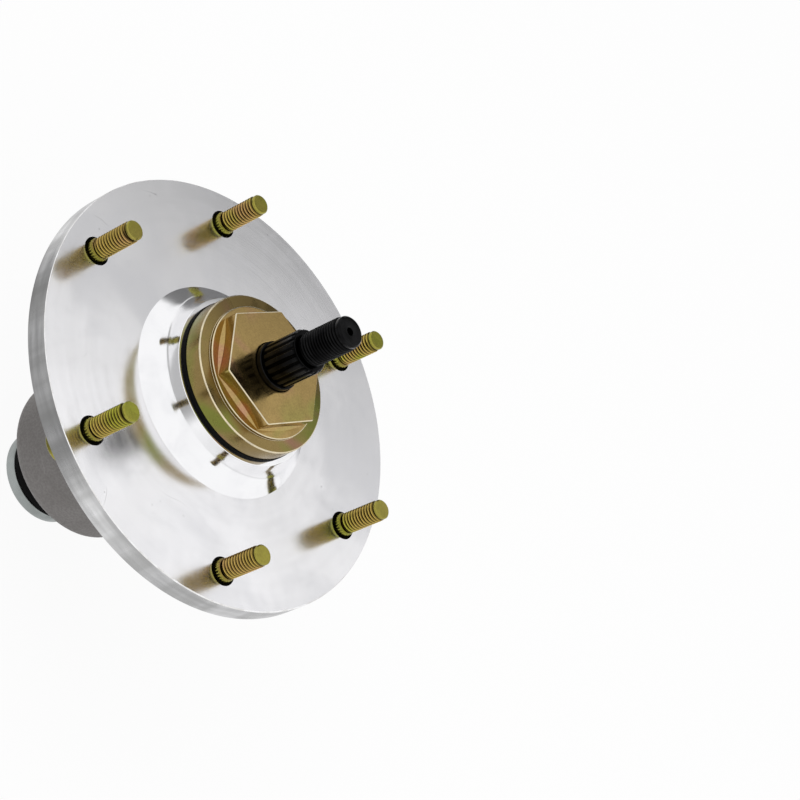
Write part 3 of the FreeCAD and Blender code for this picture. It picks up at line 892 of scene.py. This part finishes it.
def makeStudCircle():
    pattern = makeStud()
    values = {
        "Stud": ("Object", pattern),
        "Count": ("Int", studCount),
        "Radius": ("Float", studCircle * mm),
        "Seed": ("Int", studLook["seed"]),
        "Finish": ("Material", studZinc),
    }
    tree = bpy.data.node_groups.new("studCircle", "GeometryNodeTree")
    sockets = {}
    for label, (kind, value) in values.items():
        made = tree.interface.new_socket(label, in_out="INPUT", socket_type="NodeSocket" + kind)
        sockets[made.identifier] = value
    tree.interface.new_socket("Geometry", in_out="OUTPUT", socket_type="NodeSocketGeometry")
    entry = addNode(tree, "NodeGroupInput").outputs
    size = {"Vertices": entry["Count"], "Radius": entry["Radius"]}
    circle = addNode(tree, "GeometryNodeMeshCircle", size)
    source = addNode(tree, "GeometryNodeObjectInfo", {"Object": entry["Stud"]})
    chance = {2: 0.0, 3: math.tau, "Seed": entry["Seed"]}
    spin = addNode(tree, "FunctionNodeRandomValue", chance, data_type="FLOAT")
    turn = addNode(tree, "ShaderNodeCombineXYZ", {2: spin.outputs[1]})
    facing = addNode(tree, "FunctionNodeEulerToRotation", {0: turn.outputs[0]})
    copies = addNode(tree, "GeometryNodeInstanceOnPoints", {
        "Points": circle.outputs[0],
        "Instance": source.outputs["Geometry"],
        "Rotation": facing.outputs[0],
    })
    solid = addNode(tree, "GeometryNodeRealizeInstances", {0: copies.outputs[0]})
    finish = {"Geometry": solid.outputs[0], "Material": entry["Finish"]}
    dressed = addNode(tree, "GeometryNodeSetMaterial", finish)
    addNode(tree, "NodeGroupOutput", {0: dressed.outputs[0]})

    holder = bpy.data.objects.new("studHolder", bpy.data.meshes.new("studHolder"))
    bpy.context.scene.collection.objects.link(holder)
    modifier = holder.modifiers.new("studCircle", "NODES")
    modifier.node_group = tree
    for identifier, value in sockets.items():
        modifier[identifier] = value
    graph = bpy.context.evaluated_depsgraph_get()
    data = bpy.data.meshes.new_from_object(holder.evaluated_get(graph))
    data.name = "flangeStuds"
    piece = bpy.data.objects.new("flangeStuds", data)
    bpy.context.scene.collection.objects.link(piece)
    holder.modifiers.remove(modifier)
    bpy.data.objects.remove(holder)
    bpy.data.objects.remove(pattern)
    seat(piece, "housing", "yellow_zinc", "flange_studs")


makeStudCircle()


# retainer nut: round flange, step and hexagon

nutLook = {
    "columns": 240,
    "threadRadius": 25.98,
    "threadEdge": 0.4,
    "flangeHeight": 7.1,
    "underEdge": 0.3,
    "edge": 0.45,
    "stepRadius": 25.2,
    "stepHeight": 1.3,
    "stepRoot": 0.12,
    "stepEdge": 0.34,
    "stepFlat": 0.6,  # level ring inside the step's edge
    "brightFrom": 1.0,  # corners this far up the flange wear bright, partly a painted highlight
    "cornerRadius": 24.05,
    "cornerCut": 0.15,
    "hexTurn": 51.5,
    "hexHeight": 5.6,
    "foot": 1.25,  # turned foot, widest in the middle of a flat
    "cornerFoot": 0.04,  # share of it left at a corner
    "topEdge": 0.32,
    "boreRadius": 9.475,
    "boreFlat": 0.5,
    "boreEdge": 0.1,
    "lipRadius": 20.8,
    "sealRadius": 15.0,
    "sealTop": 3.0,
    "sealHeight": 6.0,
    "crease": 20,
}


def makeNut():
    look = nutLook
    columns = look["columns"]
    flange, bottom, top = span("retainer_nut")
    hexBottom = top - look["hexHeight"]
    flangeTop = hexBottom - look["stepHeight"]
    flangeBottom = flangeTop - look["flangeHeight"]
    # the third slot: flange and step side in a darker copy of the plating, painted shade
    plain, edge, shaded = range(3)
    corner = look["cornerRadius"] - look["cornerCut"]
    flat = look["cornerRadius"] * math.cos(math.pi / 6)
    turn = math.radians(look["hexTurn"])
    sixth = math.tau / 6

    def fromMiddle(angle):  # angle from the middle of the nearest flat
        return (angle - turn) % sixth - sixth / 2

    def hexRadius(angle, inset=0.0):
        return min((flat - inset) / math.cos(fromMiddle(angle)), corner - inset)

    def foot(angle):
        return look["foot"] * (1 + look["cornerFoot"] - (2 * fromMiddle(angle) / sixth) ** 2)

    body = [
        (look["lipRadius"], bottom, 0, plain),
        (look["threadRadius"], bottom, look["threadEdge"], plain),
        (look["threadRadius"], flangeBottom, 0, plain),
        (flange, flangeBottom, look["underEdge"], shaded),
        (flange, flangeTop, look["edge"], shaded),
        (look["stepRadius"], flangeTop, look["stepRoot"], shaded),
        (look["stepRadius"], hexBottom, look["stepEdge"], plain),
        (look["stepRadius"] - look["stepFlat"], hexBottom, 0, plain),
    ]
    rows, slots = latheRows(columns, body)
    tiny = 1e-4  # a band leans only if it moves more than this
    for index, (row, follower) in enumerate(zip(rows, rows[1:])):  # eased corners wear bright, partly a painted highlight
        (x0, y0, z0), (x1, y1, z1) = row[0], follower[0]
        leans = math.hypot(x1, y1) < math.hypot(x0, y0) - tiny and z1 > z0 + tiny
        if leans and z0 > flangeBottom + look["brightFrom"]:
            slots[index] = edge
    rows += [
        ring(columns, lambda angle: hexRadius(angle) + foot(angle), hexBottom),
        ring(columns, hexRadius, lambda angle: hexBottom + foot(angle)),
        ring(columns, hexRadius, top - look["topEdge"]),
        ring(columns, lambda angle: hexRadius(angle, look["topEdge"]), top),
    ]
    slots += [plain, plain, edge, plain]
    bore, seal, sealTop = look["boreRadius"], look["sealRadius"], top - look["sealTop"]
    inside = [
        (bore + look["boreFlat"], top, 0, plain),
        (bore, top, look["boreEdge"], plain),
        (bore, sealTop, 0, plain),
        (seal, sealTop, 0, plain),
        (seal, sealTop - look["sealHeight"], 0, plain),
        (look["lipRadius"], flangeBottom, 0, plain),
    ]
    inner, innerSlots = latheRows(columns, inside)
    mesh = bmesh.new()
    addBands(mesh, rows + inner, slots + innerSlots, closed=True)
    piece = finishMesh("retainerNut", mesh, [nutZinc, goldEdge, nutDeepZinc], look["crease"])
    seat(piece, "housing", "yellow_zinc", "retainer_nut")


makeNut()


# shaft: collar, journal, splines, thread and centre hole in one turned bar

shaftLook = {
    "columns": 144,
    "splines": 18,
    "splineRadius": 8.4,
    "splineRoot": 7.75,
    "splineLength": 15.6,
    "splineStart": (0.4, 0.9),  # above the shoulder, where the teeth rise
    "splineChamfer": 1.2,
    "splineTip": (0.25, 0.1),  # below the top, and above the root there
    "splineStep": 0.3,
    "shoulder": 9.175,
    "shoulderEdge": 0.25,
    "journal": 9.525,
    "collar": 12.0,
    "collarTop": 29.2,
    "collarFoot": 0.5,
    "collarEdge": 0.3,
    "clipGroove": (103.7, 105.3, 8.125),  # low, top and radius
    "neck": 5.6,
    "neckLength": 0.3,
    "pitch": 25.4 / 20,
    "threadRoot": 5.62,
    "threadLength": 17.7,
    "endRadius": 5.9,
    "endChamfer": 0.6,
    "endRound": 0.15,
    "centreRadius": 1.5,
    "centreDepth": 4.0,
    "centreSink": 0.4,
    "centreRound": 0.1,
    "boltDepth": 28.0,
    "boltPitch": 25.4 / 16,
    "boltSink": 0.8,
    "boltThread": 0.55,
    "markStart": 0.3,
    "crease": 26,
}
splineTooth = (  # share of one tooth's angle, share of its depth
    (0.00, 0.0), (0.13, 0.1), (0.24, 0.85), (0.31, 1.0),
    (0.50, 1.0), (0.69, 1.0), (0.76, 0.85), (0.87, 0.1),
)


def splineRow(look, level, limit):  # straight-sided teeth, cut off at a limiting radius
    points = []
    step = math.tau / look["splines"]
    depth = look["splineRadius"] - look["splineRoot"]
    for index in range(look["columns"] + 1):
        tooth, place = divmod(index % look["columns"], len(splineTooth))
        share, rise = splineTooth[place]
        angle = step * (tooth + share)
        r = min(look["splineRoot"] + depth * rise, limit)
        points.append((r * math.cos(angle), r * math.sin(angle), level))
    return points


def makeShaft():
    look = shaftLook
    columns = look["columns"]
    low, top = span("shaft")[1:]
    splineBottom = mounts["pulley_seat"]["pos_m"][2] / mm
    splineTop = splineBottom + look["splineLength"]
    threadBottom = splineTop + look["neckLength"]
    threadTop = threadBottom + look["threadLength"]
    bolt = mounts["blade_bolt"]["dims"]["r_mm"]
    radius = mounts["top_thread"]["dims"]["r_mm"]
    shoulderLow = span("nut_gasket")[2]
    grooveLow, grooveTop, grooveRadius = look["clipGroove"]
    outside = [
        (bolt + look["boltSink"], low, 0, 0),
        (look["collar"], low, look["collarFoot"], 0),
        (look["collar"], look["collarTop"], look["collarEdge"], 0),
        (look["journal"], look["collarTop"], 0, 0),
        (look["journal"], grooveLow, 0, 0),
        (grooveRadius, grooveLow, 0, 0),
        (grooveRadius, grooveTop, 0, 0),
        (look["journal"], grooveTop, 0, 0),
        (look["journal"], shoulderLow, 0, 0),
        (look["shoulder"], shoulderLow, 0, 0),
        (look["shoulder"], splineBottom, look["shoulderEdge"], 0),
        (look["splineRoot"], splineBottom, 0, 0),
    ]
    rows = latheRows(columns, outside)[0]
    footLevel, fullLevel = look["splineStart"]
    tipDrop, tipRise = look["splineTip"]
    rows += [
        splineRow(look, splineBottom + footLevel, look["splineRoot"]),
        splineRow(look, splineBottom + fullLevel, look["splineRadius"]),
        splineRow(look, splineTop - look["splineChamfer"], look["splineRadius"]),
        splineRow(look, splineTop - tipDrop, look["splineRoot"] + tipRise),
        ring(columns, look["splineRoot"] - look["splineStep"], splineTop),
        ring(columns, look["neck"], splineTop),
        ring(columns, look["neck"], threadBottom),
    ]
    root = look["threadRoot"]
    rows += threadRows(columns, threadBottom, threadTop, look["pitch"], radius, root)
    end, ease = look["endRadius"], look["endRound"]
    centre, sink = look["centreRadius"], look["centreSink"]
    tip = [
        (root, threadTop, 0, 0),
        (end, threadTop, ease, 0),
        (end, top - look["endChamfer"], ease, 0),
        (end - look["endChamfer"], top, ease, 0),
        (centre + sink, top, look["centreRound"], 0),
        (centre, top - sink, 0, 0),
        (centre, top - look["centreDepth"] + centre, 0, 0),
        (0, top - look["centreDepth"], 0, 0),
    ]
    rows += latheRows(columns, tip)[0]
    boltLow, boltTop = low + look["boltSink"], low + look["boltDepth"]
    groove = bolt + look["boltThread"]
    bore = [ring(columns, 0, boltTop + bolt), ring(columns, bolt, boltTop)]
    bore += reversed(threadRows(columns, boltLow, boltTop, look["boltPitch"], groove, bolt))
    bore += [ring(columns, bolt, boltLow), ring(columns, bolt + look["boltSink"], low)]
    mesh = bmesh.new()
    addBands(mesh, rows, [0] * len(rows))
    addBands(mesh, bore, [0] * len(bore))
    piece = finishMesh("splinedShaft", mesh, [blackOxide], look["crease"])
    markRoots(piece, [
        (splineBottom + look["markStart"], splineTop, look["splineRoot"], look["splineRadius"]),
        (threadBottom, threadTop, root, radius),
    ])
    seat(piece, "rotor", "black_oxide", "shaft")


makeShaft()


# rings under the barrel and under the nut, their rounds in the order of the corners

ringLook = {
    "play": 0.02,
    "hubRounds": (0.4, 0.8, 0.8, 0.3),
    "gasketRounds": (0.2, 0.25, 0.25, 0.2),
    "gasketShrink": 0.75,  # pressed rubber shows less than its full reach
    "sealGap": 0.3,
    "sealLift": 1.2,
    "sealLip": 1.6,
    "sealSlope": 3.0,
    "sealRounds": (0.2, 0.6, 0.5, 0.5, 0.5, 0.3),
    "dustWall": 3.2,
    "dustBody": 8.6,
    "dustLip": 1.6,
    "dustRounds": (0.2, 0.4, 0.5, 1.2, 0.15, 0.15, 0.4),
}


def makeRings():
    look = ringLook
    collar = shaftLook["collar"] + look["play"]
    hub, low, high = span("blade_hub")
    corners = [(collar, low), (hub, low), (hub, high), (collar, high)]
    piece = lathe("bladeHub", corners, look["hubRounds"], clearZinc)
    seat(piece, "rotor", "clear_zinc", "blade_hub")

    gasket, low, high = span("nut_gasket")
    gasket -= look["gasketShrink"]
    inner = housingLook["nutThread"] + look["play"]
    corners = [(inner, low), (gasket, low), (gasket, high), (inner, high)]
    piece = lathe("nutGasket", corners, look["gasketRounds"], rubber)
    seat(piece, "housing", "black_rubber", "nut_gasket")

    seal, low, high = span("lower_shaft_seal")
    inner = shaftLook["collar"] + look["sealGap"]
    lipLevel = low + look["sealLift"]
    corners = [
        (inner, lipLevel), (inner + look["sealLip"], lipLevel), (inner + look["sealSlope"], low),
        (seal, low), (seal, high), (inner, high),
    ]
    piece = lathe("lowerShaftSeal", corners, look["sealRounds"], rubber)
    seat(piece, "housing", "black_rubber", "lower_shaft_seal")

    lip, low, high = span("dust_ring")
    bodyTop = low + look["dustBody"]
    corners = [
        (collar, low), (lip, low), (lip, low + look["dustLip"]),
        (collar + look["dustWall"], bodyTop), (lip, high),
        (lip - look["dustLip"], high), (collar, bodyTop),
    ]
    piece = lathe("dustRing", corners, look["dustRounds"], rubber)
    seat(piece, "rotor", "black_rubber", "dust_ring")


makeRings()


# what is inside keeps its CAD shape and gets its finish

insideFinish = {
    "upper_shaft_seal": rubber,
    "bearing_spacer": cageSteel,
    "shaft_clip": springSteel,
    "bore_clip": springSteel,
}
for place in ("lower", "upper"):
    for part in ("outer_race", "inner_race"):
        insideFinish[place + "_" + part] = bearingSteel
    for number in range(1, 9):
        insideFinish[place + "_ball_" + str(number)] = bearingSteel
    insideFinish[place + "_cage"] = cageSteel
    for side in ("lower", "upper"):
        insideFinish[place + "_bearing_" + side + "_shield"] = rubber
for name, material in insideFinish.items():
    data = frame["nodes"][name].data
    data.materials.clear()
    data.materials.append(material)
print("finish on", len(insideFinish), "inner nodes")


# stage, light and camera

stageLook = {
    "floorSize": 6.0,  # metres, as all sizes of the stage
    "floorDrop": 0.0002,
    "floorShade": 0.92,
    "floorShow": 0.92,
    "eyeLevel": 0.1,  # height the floor's grading is set out from
    "ambient": 0.80,
    "coolCast": 1.01,  # blue against red in the studio's greys
    "rampShare": 0.2,  # share of a colour ramp for one unit of its grading
    "dimLean": (0.88, 0.47),  # the studio dims this much up and to the right
    "dimFocus": 1.5,  # keeps the dim part of the studio behind the object
    "skyShades": (
        (-0.12, 1.00), (-0.045, 1.00), (-0.017, 0.90), (0.006, 0.48),
        (0.027, 0.21), (0.20, 0.17), (0.35, 0.21), (0.75, 0.22)),
    "floorDark": (0.931, 0.366, 0.0),
    "floorShades": (
        (-0.35, 0.80), (0.27, 0.95), (0.45, 1.00), (0.55, 0.72),
        (0.62, 0.50), (0.72, 0.38), (0.88, 0.50)),
}
lampLook = {
    "keyLamp": {"place": (0.94, -0.17, 0.90), "size": 0.8, "power": 2.2},
    "fillLamp": {"place": (-0.6, 0.9, 0.6), "size": 1.0, "power": 3.0},
}
lampAim = Vector((0, 0, 0.08))
view = {  # camera in the part's frame, millimetres
    "place": Vector((280.712, 627.962, 700.505)),
    "right": Vector((-0.61067, -0.31699, 0.72567)),
    "up": Vector((0.70844, -0.62816, 0.32177)),
    "back": Vector((0.35384, 0.71059, 0.60817)),
    "lens": 113.2135,
    "sensor": 36.0,
}


def mirrored(vector):  # as the flange's face shows it
    return Vector((vector.x, vector.y, -vector.z))


def skyAxis():  # the studio dims along this
    up, right = stageLook["dimLean"]
    lean = mirrored(view["up"]) * up + mirrored(view["right"]) * right
    return lean - mirrored(view["back"]) * stageLook["dimFocus"]


def gradedShade(tree, toward, axis, start, shades):
    middle, share = 0.5, stageLook["rampShare"]
    along = vectorCalc(tree, "DOT_PRODUCT", {0: toward, 1: axis})["Value"]
    along = scaled(tree, calc(tree, "SUBTRACT", along, start), share)
    ramp = addNode(tree, "ShaderNodeValToRGB", {0: calc(tree, "ADD", along, middle)})
    stops = ramp.color_ramp.elements
    for index, (spot, shade) in enumerate(shades):
        place = middle + spot * share
        if 0 < index < len(shades) - 1:
            stop = stops.new(place)
        else:
            stop = stops[-1 if index else 0]
            stop.position = place
        stop.color = (shade, shade, shade * stageLook["coolCast"], 1)
    return ramp.outputs["Color"]


def backdropColour(tree, graded):  # white for the camera and through glass, graded in metal
    path = addNode(tree, "ShaderNodeLightPath").outputs
    seen = calc(tree, "MAXIMUM", path["Is Camera Ray"], path["Is Transmission Ray"])
    glossy = path["Is Glossy Ray"]
    colour = blendColours(tree, glossy, (1, 1, 1, 1), graded)
    return colour, calc(tree, "MAXIMUM", seen, glossy), glossy


def makeFloor():
    half, level = stageLook["floorSize"] / 2, -stageLook["floorDrop"]
    corners = [(x * half, y * half, level) for x, y in ((-1, -1), (1, -1), (1, 1), (-1, 1))]
    data = bpy.data.meshes.new("floor")
    data.from_pydata(corners, [], [(0, 1, 2, 3)])
    floor = bpy.data.objects.new("floor", data)
    bpy.context.scene.collection.objects.link(floor)
    material = bpy.data.materials.new("paleFloor")
    material.use_nodes = True
    tree = material.node_tree
    tree.nodes.clear()
    shade = stageLook["floorShade"]
    matt = addNode(tree, "ShaderNodeBsdfDiffuse", {"Color": (shade, shade, shade, 1)})
    spot = addNode(tree, "ShaderNodeTexCoord").outputs["Object"]
    below = vectorCalc(tree, "ADD", {0: spot, 1: (0, 0, -stageLook["eyeLevel"])})[0]
    toward = vectorCalc(tree, "NORMALIZE", {0: below})[0]
    graded = gradedShade(tree, toward, stageLook["floorDark"], 0.0, stageLook["floorShades"])
    colour, shown, glossy = backdropColour(tree, graded)
    pale = addNode(tree, "ShaderNodeEmission", {"Color": colour, "Strength": 1.0}).outputs[0]
    share = calc(tree, "MAXIMUM", scaled(tree, shown, stageLook["floorShow"]), glossy)
    mixed = addNode(tree, "ShaderNodeMixShader", {0: share, 1: matt.outputs[0], 2: pale})
    addNode(tree, "ShaderNodeOutputMaterial", {"Surface": mixed.outputs[0]})
    data.materials.append(material)


def makeWorld():
    world = bpy.data.worlds.new("studio")
    bpy.context.scene.world = world
    world.use_nodes = True
    tree = world.node_tree
    tree.nodes.clear()
    toward = addNode(tree, "ShaderNodeTexCoord").outputs["Generated"]
    graded = gradedShade(tree, toward, skyAxis(), stageLook["dimFocus"], stageLook["skyShades"])
    colour, shown = backdropColour(tree, graded)[:2]
    even = {"Color": (1, 1, 1, 1), "Strength": stageLook["ambient"]}
    ambient = addNode(tree, "ShaderNodeBackground", even).outputs[0]
    backdrop = addNode(tree, "ShaderNodeBackground", {"Color": colour, "Strength": 1.0}).outputs[0]
    mixed = addNode(tree, "ShaderNodeMixShader", {0: shown, 1: ambient, 2: backdrop})
    addNode(tree, "ShaderNodeOutputWorld", {"Surface": mixed.outputs[0]})


def makeLamp(name, look):
    data = bpy.data.lights.new(name, "AREA")
    data.shape = "SQUARE"
    data.size = look["size"]
    data.energy = look["power"]
    lamp = bpy.data.objects.new(name, data)
    lamp.visible_glossy = False  # metal mirrors the backdrop alone
    lamp.location = look["place"]
    lamp.rotation_euler = (lampAim - Vector(look["place"])).to_track_quat("-Z", "Y").to_euler()
    bpy.context.scene.collection.objects.link(lamp)


def makeCamera():
    data = bpy.data.cameras.new("camera")
    data.lens = view["lens"]
    data.sensor_width = view["sensor"]
    camera = bpy.data.objects.new("camera", data)
    turned = Matrix((view["right"], view["up"], view["back"])).transposed().to_4x4()
    camera.matrix_world = Matrix.Translation(view["place"] * mm) @ turned
    bpy.context.scene.collection.objects.link(camera)
    bpy.context.scene.camera = camera


makeFloor()
makeWorld()
for name, look in lampLook.items():
    makeLamp(name, look)
makeCamera()
bpy.context.scene.view_settings.view_transform = "Standard"
print("stage, lamps and camera set")
